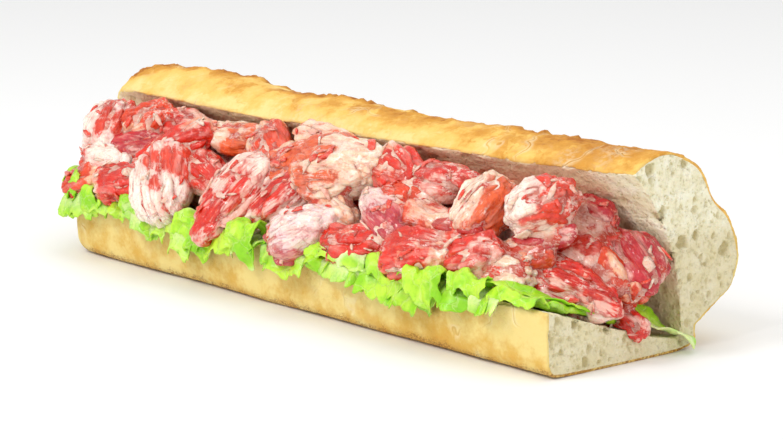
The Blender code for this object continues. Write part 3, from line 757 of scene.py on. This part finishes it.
def make_meat(name, look, toward):
    """The dressed piece for one lobster solid. Its skin lies on the side named by toward."""
    piece = copied("lobster_" + name, name + "_meat")
    remeshed(piece, MEAT_VOXEL, 7)
    points, normals = get(piece), get(piece, "normal")
    seed = sum(ord(c) * (i + 3) for i, c in enumerate(name))
    middle, axes = own_axes(points)
    local = (points - middle) @ axes.T
    reach = np.abs(local).max(axis=0)
    flesh, skin, covered, striped = LOOKS[look]
    is_tail, is_knuckle = name.startswith("tail"), name.startswith("knuckle")
    ragged = smooth_step(np.abs(local[:, 0]) / reach[0], 0.45, 1.0) + 0.35 * is_knuckle
    stretched = local * ALONG_FIBRES
    fold = (1 - np.abs(mist(local * (0.35, 1, 1), 6 * MM, seed + 5, 2))) ** 5
    out = PLUMP + LUMP * mist(points, 7 * MM, seed, 2) - FOLD * fold
    out += FIBRE_RELIEF * mist(stretched, 1.9 * MM, seed + 9, 2)
    out += RAGGED * ragged * mist(points, 3.0 * MM, seed + 14, 3)
    if is_tail:
        out = PLUMP + 0.45 * out
        bent = local[:, 1] + 1.0 * MM * mist(points, 8 * MM, seed + 2)
        groove = (1 - np.abs(np.sin(bent * math.pi / RING))) ** 1.6
        out -= RING_DEPTH * groove
    put(piece, points + normals * out[:, None])
    side = ((points - middle) @ np.array(toward)) / np.linalg.norm(reach)
    shade = 0.04 + covered + 0.95 * side + 0.36 * mist(points, 9 * MM, seed + 21, 2)
    shade += 0.2 * mist(stretched, 3 * MM, seed + 25, 2)
    warm = 0.5 + 0.5 * mist(points, 6 * MM, seed + 31, 2)
    # deep is painted shade, darkest where the surface sinks into a fold.
    paint_meat(piece, flesh=srgb(flesh) * (1 - (1 - ROSY) * warm[:, None]),
               skin=srgb(skin) * (0.74 + 0.36 * warm[:, None]) * DEEPER_RED, cover=shade,
               deep=smooth_step(-out / MM, -0.5, 1.2) * (0.5 if is_tail else 1.0), stripe=striped,
               film=smooth_step(mist(points, 7 * MM, seed + 41, 2), 0.0, 0.6), grain=local)
    settle(piece, meat_material, "lobster", "lobster_" + name)
    return piece


meat_pieces = [make_meat(name, *facts) for name, facts in PIECES.items()]
print("faces on the meat:", sum(len(p.data.polygons) for p in meat_pieces))

# %% [markdown]
# ## The meat behind
# Behind the pieces that show, the opening is packed with more meat. One solid stands for it, and
# it is given the look of many small chunks: large bubbles of foam, turned outwards, are round
# chunks with creases between them, and each has its own random tone.

# %% Packed meat
PACKED_VOXEL = 0.9 * MM
CHUNK_CELL, SMALLEST_CHUNK, LARGEST_CHUNK = 10 * MM, 6 * MM, 9 * MM
MOST_IN, MOST_OUT = 2.5 * MM, 1.6 * MM

packed = copied("lobster_salad", "packed_meat")
remeshed(packed, PACKED_VOXEL, 6)
points, normals = get(packed), get(packed, "normal")
chunk, tone = foam(points, CHUNK_CELL, SMALLEST_CHUNK, LARGEST_CHUNK, 1.0, 71)
out = 0.45 * (chunk - chunk.mean()) + 0.5 * MM * mist(points, 3 * MM, 73, 2)
put(packed, points + normals * np.clip(out, -MOST_IN, MOST_OUT)[:, None])
middle, axes = own_axes(points)
# The creases between the chunks get painted shade through deep.
paint_meat(packed, flesh=srgb("#F6C4B0") * (0.85 + 0.3 * tone[:, None]),
           skin=srgb("#D2301F") * (0.7 + 0.5 * tone[:, None]),
           cover=0.15 + 0.8 * tone + 0.3 * mist(points, 8 * MM, 75, 2), stripe=0.2 * tone,
           deep=smooth_step(-out / MM, -0.6, 1.4),
           film=smooth_step(mist(points, 6 * MM, 77, 2), 0.1, 0.7),
           grain=(points - middle) @ axes.T)
print("faces on the packed meat:", len(packed.data.polygons))
settle(packed, meat_material, "lobster", "lobster_salad")

# %% [markdown]
# ## Dressing between the pieces
# A thin creamy dressing and crushed meat gather where pieces touch, so the filling reads as one
# salad and not as loose lumps. A remesh joins all the solids of meat into one skin. Smoothing
# shrinks its bumps, which sink below the pieces, and fills its creases, where dressing lies.
# Some stretches of it are dark, because light hardly reaches the gaps between the pieces.

# %% Dressing
DRESSING_VOXEL, DRESSING_SMOOTHING = 1.1 * MM, 16
DRESSING_SINK, DRESSING_CLOT = 0.1 * MM, 0.6 * MM

bm = bmesh.new()
for node in sorted(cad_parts):
    if node.startswith("lobster_"):
        bm.from_mesh(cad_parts[node].data)
bmesh.ops.remove_doubles(bm, verts=bm.verts, dist=DOUBLES)
dressing = built(bm, "dressing")
remeshed(dressing, DRESSING_VOXEL, DRESSING_SMOOTHING)
points, normals = get(dressing), get(dressing, "normal")
thickness = DRESSING_CLOT * mist(points, 4 * MM, 205, 3) - DRESSING_SINK
put(dressing, points + normals * thickness[:, None])
tone = 0.5 + 0.5 * mist(points, 7 * MM, 207, 2)
# deep here is painted shade in random stretches, for the gaps that light hardly reaches.
paint_meat(dressing, flesh=srgb("#F8CBB0") * (0.85 + 0.2 * tone[:, None]),
           skin=srgb("#E2452A") * (0.75 + 0.4 * tone[:, None]),
           cover=0.46 + 0.4 * mist(points, 6 * MM, 209, 2), stripe=0.0,
           deep=smooth_step(mist(points, 9 * MM, 211, 2), -0.4, 0.5),
           film=0.4 + 0.4 * tone, grain=points)
settle(dressing, meat_material, "lobster")
print("faces on the dressing:", len(dressing.data.polygons))

# %% [markdown]
# ## Shreds of meat
# Mixing lobster salad leaves small torn shreds, which stick to the larger pieces and fill the
# gaps between them. They are too small to be solids of their own. Each is a small ball with a
# few dozen faces, drawn out, bent by noise and laid flat on the surface of a piece.

# %% Shreds
SHREDS = 230
SHRED_LENGTHS, SHRED_THICKNESS = (2.5 * MM, 7 * MM), 0.6 * MM
DROOP = 20
TO_CAMERA = np.array((0.15, -0.85, 0.5))

rng = np.random.default_rng(7)
carriers = [(get(p), get(p, "normal")) for p in meat_pieces]
seats = np.concatenate([c[0] for c in carriers])
seat_normals = np.concatenate([c[1] for c in carriers])
showing = np.flatnonzero(seat_normals @ TO_CAMERA > 0.1)
bm = bmesh.new()
tones = []
for k, chosen in enumerate(rng.choice(showing, SHREDS)):
    made = bmesh.ops.create_icosphere(bm, subdivisions=2, radius=1)["verts"]
    length = rng.uniform(*SHRED_LENGTHS)
    upward = seat_normals[chosen]
    along = np.cross(upward, rng.normal(size=3))
    along /= np.linalg.norm(along)
    turn = np.array((along, np.cross(upward, along), upward))
    ball = np.array([v.co for v in made])
    ball *= 1 + 0.8 * mist(ball + k, 0.9, 3, 2)[:, None]
    ball[:, 1] += 0.7 * mist(ball[:, :1] * (1, 0, 0) + k, 1.2, 9)
    ball = ball * (length / 2, rng.uniform(0.1, 0.24) * length, SHRED_THICKNESS)
    ball[:, 2] -= DROOP * (ball[:, 0] ** 2 + ball[:, 1] ** 2)
    ball = ball @ turn
    ball += seats[chosen] + upward * 0.35 * MM
    for vert, place in zip(made, ball):
        vert.co = place
    tones += [rng.random()] * len(made)
shreds = built(bm, "meat_shreds")
points, tones = get(shreds), np.array(tones)
paint_meat(shreds, flesh=srgb("#F8CDB4") * (0.9 + 0.2 * tones[:, None]),
           skin=srgb("#E43A22") * (0.8 + 0.4 * tones[:, None]), cover=0.1 + 0.75 * tones,
           stripe=0.2 * tones, deep=0.0, film=0.3, grain=points)
settle(shreds, meat_material, "lobster")
print("shreds:", SHREDS, "with", len(shreds.data.polygons), "faces")

# %% [markdown]
# ## Lettuce
# Lettuce leaves are under a millimetre thick, so a push along the normal would swell them. All
# points near each other are pushed the same way instead, by three noises at once, one for each
# direction, and the leaf crumples but stays thin. Pale ribs branch over a lime green blade.

# %% Lettuce finish
VEIN, LEAF_GRAIN, LEAF_PATCH = 8 * MM, 0.8 * MM, 9 * MM

green = Finish("lettuce_leaf", {"Subsurface Weight": 0.35, "Subsurface Radius": (0.7, 1.0, 0.2),
                                "Subsurface Scale": 0.0016, "IOR": 1.4, "Coat Weight": 0.15})
veins = green.cracks(VEIN, green.shifted(7 * MM, 10 * MM))
rib = green.read("rib")
dimples = green.noise(LEAF_GRAIN, 3)
patch = green.noise(LEAF_PATCH, 3)
vein_share = 1 - (veins - rib * 0.06).step(0.0, 0.07)
leaf_colour = green.mix(patch.step(0.35, 0.65), "#8FD010", "#C2EE3E")
leaf_colour = green.mix(rib.step(0.1, 0.9), leaf_colour, "#E4F3AE")
leaf_colour = green.mix(vein_share * 0.3, leaf_colour, "#DDF29A")
leaf_colour = green.mix(dimples.step(0.5, 0.7) * 0.2, leaf_colour, "#6DAE10")
leaf_relief = green.bump(dimples * 0.3 - vein_share * 0.4 + patch, 0.4 * MM)
leaf_material = green.finish(Base_Color=leaf_colour, Normal=leaf_relief,
                             Roughness=0.36 + (dimples - 0.5) * 0.25)
print("nodes in the lettuce:", len(green.tree.nodes))

# %% [markdown]
# The leaves, the two strips and the bed of shreds are dressed by one function. A remesh would
# swell thin solids a little, so leaves are first made thinner. The strips are crumpled less,
# since they are cut from stiff ribs, and the bed has larger faces, as little of it shows.

# %% Leaves, strips and bed
LEAF_VOXEL, BED_VOXEL, LOWEST = 0.45 * MM, 0.8 * MM, 0.3 * MM
BROAD_CRUMPLE, FINE_CRUMPLE = 6.5 * MM, 2.6 * MM


def crumple(points, size, amount, seed):
    """The same push for points that lie close together."""
    push = np.stack([mist(points, size, seed + 7 * k, 2) for k in range(3)], axis=1)
    return push * amount


def make_leaf(node, voxel=LEAF_VOXEL, thinned=0.12 * MM, amount=1.3 * MM):
    """The dressed piece for one lettuce solid, crumpled by about the amount."""
    piece = copied(node, node.replace("lettuce", "green"))
    remeshed(piece, voxel, 3)
    points, normals = get(piece), get(piece, "normal")
    seed = sum(ord(c) * (i + 5) for i, c in enumerate(node))
    rib = mist(points, 12 * MM, seed + 50, 2)
    points = points - normals * thinned
    fine_push = crumple(points, FINE_CRUMPLE, amount * 0.3, seed + 30)
    points += crumple(points, BROAD_CRUMPLE, amount, seed) + fine_push
    points[:, 2] = np.maximum(points[:, 2], LOWEST)
    put(piece, points)
    paint(piece, "rib", smooth_step(rib, -0.1, 0.8))
    settle(piece, leaf_material, "lettuce", node)
    return piece


nodes = sorted(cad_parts)
leaves = [make_leaf(n) for n in nodes if n.startswith("lettuce_leaf")]
strips = [make_leaf(n, amount=0.9 * MM) for n in nodes if n.startswith("lettuce_strip")]
bed = make_leaf("lettuce_bed", BED_VOXEL, 0.0, 1.2 * MM)
print("faces on the lettuce:", sum(len(p.data.polygons) for p in [*leaves, *strips, bed]))

# %% [markdown]
# ## Lettuce scraps on the lip
# Cut lettuce also spills over the front edge of the lower half, in scraps a few centimetres
# long. Each scrap is a grid of faces. Its back edge lies under the meat, its front edge hangs
# over the lip, and waves that grow toward the front edge ruffle it. Any point that would fall
# inside the bread is pushed out again, and a Solidify modifier gives the scraps their thickness.
# First the lip itself is found: the foremost points of the lower cut face, station by station.

# %% The lip
LIP_FROM, LIP_TO, STATIONS = -0.148, 0.142, 60

lower = get(loaf)[region == LOWER_CUT]
stations = np.linspace(LIP_FROM, LIP_TO, STATIONS)
lip = []
for x in stations:
    near = lower[np.abs(lower[:, 0] - x) < 3 * MM]
    lip.append(near[near[:, 1].argmin()])
lip = np.array(lip)
print("height of the lip in mm:", np.round(lip[::12, 2] / MM, 1).tolist())

# %% Scraps on the lip
SCRAPS, ROWS, COLUMNS = 27, 20, 48
FIRST_SCRAP, SCRAP_SPAN = -0.142, 0.262
LIP_ROUNDING, RUFFLE, SCRAP_THICKNESS = 3 * MM, 1.0 * MM, 0.4 * MM
OVER_BREAD, DEEPEST_MEND = 0.8 * MM, 12 * MM

bm = bmesh.new()
ribs = []
for k in range(SCRAPS):
    middle = FIRST_SCRAP + SCRAP_SPAN * (k + rng.uniform(-0.3, 0.3)) / (SCRAPS - 1)
    length, inner = rng.uniform(13, 30) * MM, rng.uniform(5, 8) * MM
    hang = rng.uniform(7, 13) * MM * (1.0 if k % 4 else 0.6)
    waves, phase, lift = rng.uniform(1.2, 3.2), rng.uniform(0, 6), rng.uniform(0.3, 2.2) * MM
    slope, tone = rng.uniform(-0.3, 0.3), rng.random()
    made = bmesh.ops.create_grid(bm, x_segments=COLUMNS, y_segments=ROWS, size=1)["verts"]
    u, v = np.array([vert.co[:2] for vert in made]).T
    ragged = 1 + 0.25 * mist(np.stack([u * 2.5 + k, u * 0, u * 0], axis=1), 1, 5, 2)
    across = (v + 1) / 2 * (inner + hang * ragged) - inner
    out = np.maximum(across, 0)
    x = middle + u * length / 2 * (1 - 0.12 * v ** 2) + slope * across
    lip_y, lip_z = (np.interp(x, stations, lip[:, axis]) for axis in (1, 2))
    bend = LIP_ROUNDING * np.sin(np.minimum(out / LIP_ROUNDING, 1.3))
    ruffle = np.sin(u * waves * math.pi / 2 + phase) * (0.4 + 1.2 * out / hang)
    y = lip_y - np.where(across < 0, across, bend + 0.45 * out) - RUFFLE * ruffle * (out > 0)
    z = lip_z + lift + 0.8 * RUFFLE * ruffle - (out - bend * 0.6) * (out > 0)
    sheet = np.stack([x, y, z], axis=1)
    sheet += crumple(sheet, 6 * MM, 0.9 * MM, 300 + k)
    for i, point in enumerate(sheet):
        place, normal, _, _ = whole_form.find_nearest(Vector(point))
        inside = OVER_BREAD - (Vector(point) - place).dot(normal)
        if 0 < inside < DEEPEST_MEND:
            sheet[i] += np.array(normal) * inside
    for vert, place in zip(made, sheet):
        vert.co = place
    ribs += list(np.clip(1.1 * tone - 0.1 - 0.5 * v * (tone > 0.4), 0, 1))
scraps = built(bm, "lettuce_scraps")
paint(scraps, "rib", np.array(ribs))
thick = scraps.modifiers.new("thickness", "SOLIDIFY")
thick.thickness, thick.offset = SCRAP_THICKNESS, 0
apply_modifiers(scraps)
settle(scraps, leaf_material, "lettuce")
print("scraps:", SCRAPS, "with", len(scraps.data.polygons), "faces")

# %% [markdown]
# ## Floor and light
# A plain pale floor and soft round lamps give the even, bright look of a food studio. The key
# lamp stands high in front, so the lid shades the filling under it. A wide lamp overhead and a
# low one in front soften that shade, and one at the side lights the cut end. The smallest leaves
# sharp glints on the wet meat.

# %% Floor and lamps
FLOOR_HALF_WIDTH = 4
AIM = Vector((0, 0, 0.03))
WORLD_STRENGTH = 0.76
# where each lamp stands, how wide it is, and its watts
LAMPS = {
    "key": ((-0.15, -0.85, 0.95), 0.42, 4.6),
    "overhead": ((0.1, 0.25, 1.1), 0.9, 2.4),
    "low": ((-0.1, -1.1, 0.3), 0.9, 1.3),
    "glint": ((0.3, -0.95, 0.75), 0.1, 1.3),
    "side": ((1.1, -0.2, 0.55), 0.7, 1.2),
}

bm = bmesh.new()
bmesh.ops.create_grid(bm, x_segments=1, y_segments=1, size=FLOOR_HALF_WIDTH)
floor = built(bm, "floor")
paper = Finish("pale_floor", {"Base Color": (0.95, 0.95, 0.945, 1), "Roughness": 0.6})
floor.data.materials.append(paper.finish())

for name, (place, width, watts) in LAMPS.items():
    light = bpy.data.lights.new(name, "AREA")
    light.shape, light.size, light.energy = "DISK", width, watts
    lamp = linked(name, light)
    lamp.location = place
    lamp.rotation_mode = "QUATERNION"
    lamp.rotation_quaternion = (lamp.location - AIM).to_track_quat("Z", "Y")
world = bpy.data.worlds.new("studio")
bpy.context.scene.world = world
world.use_nodes = True
studio = world.node_tree.nodes["Background"]
studio.inputs["Color"].default_value = (1, 1, 1, 1)
studio.inputs["Strength"].default_value = WORLD_STRENGTH
bpy.context.scene.view_settings.view_transform = "Standard"
print("lamps:", len(LAMPS), "with", round(sum(watts for _, _, watts in LAMPS.values()), 1), "W in all")
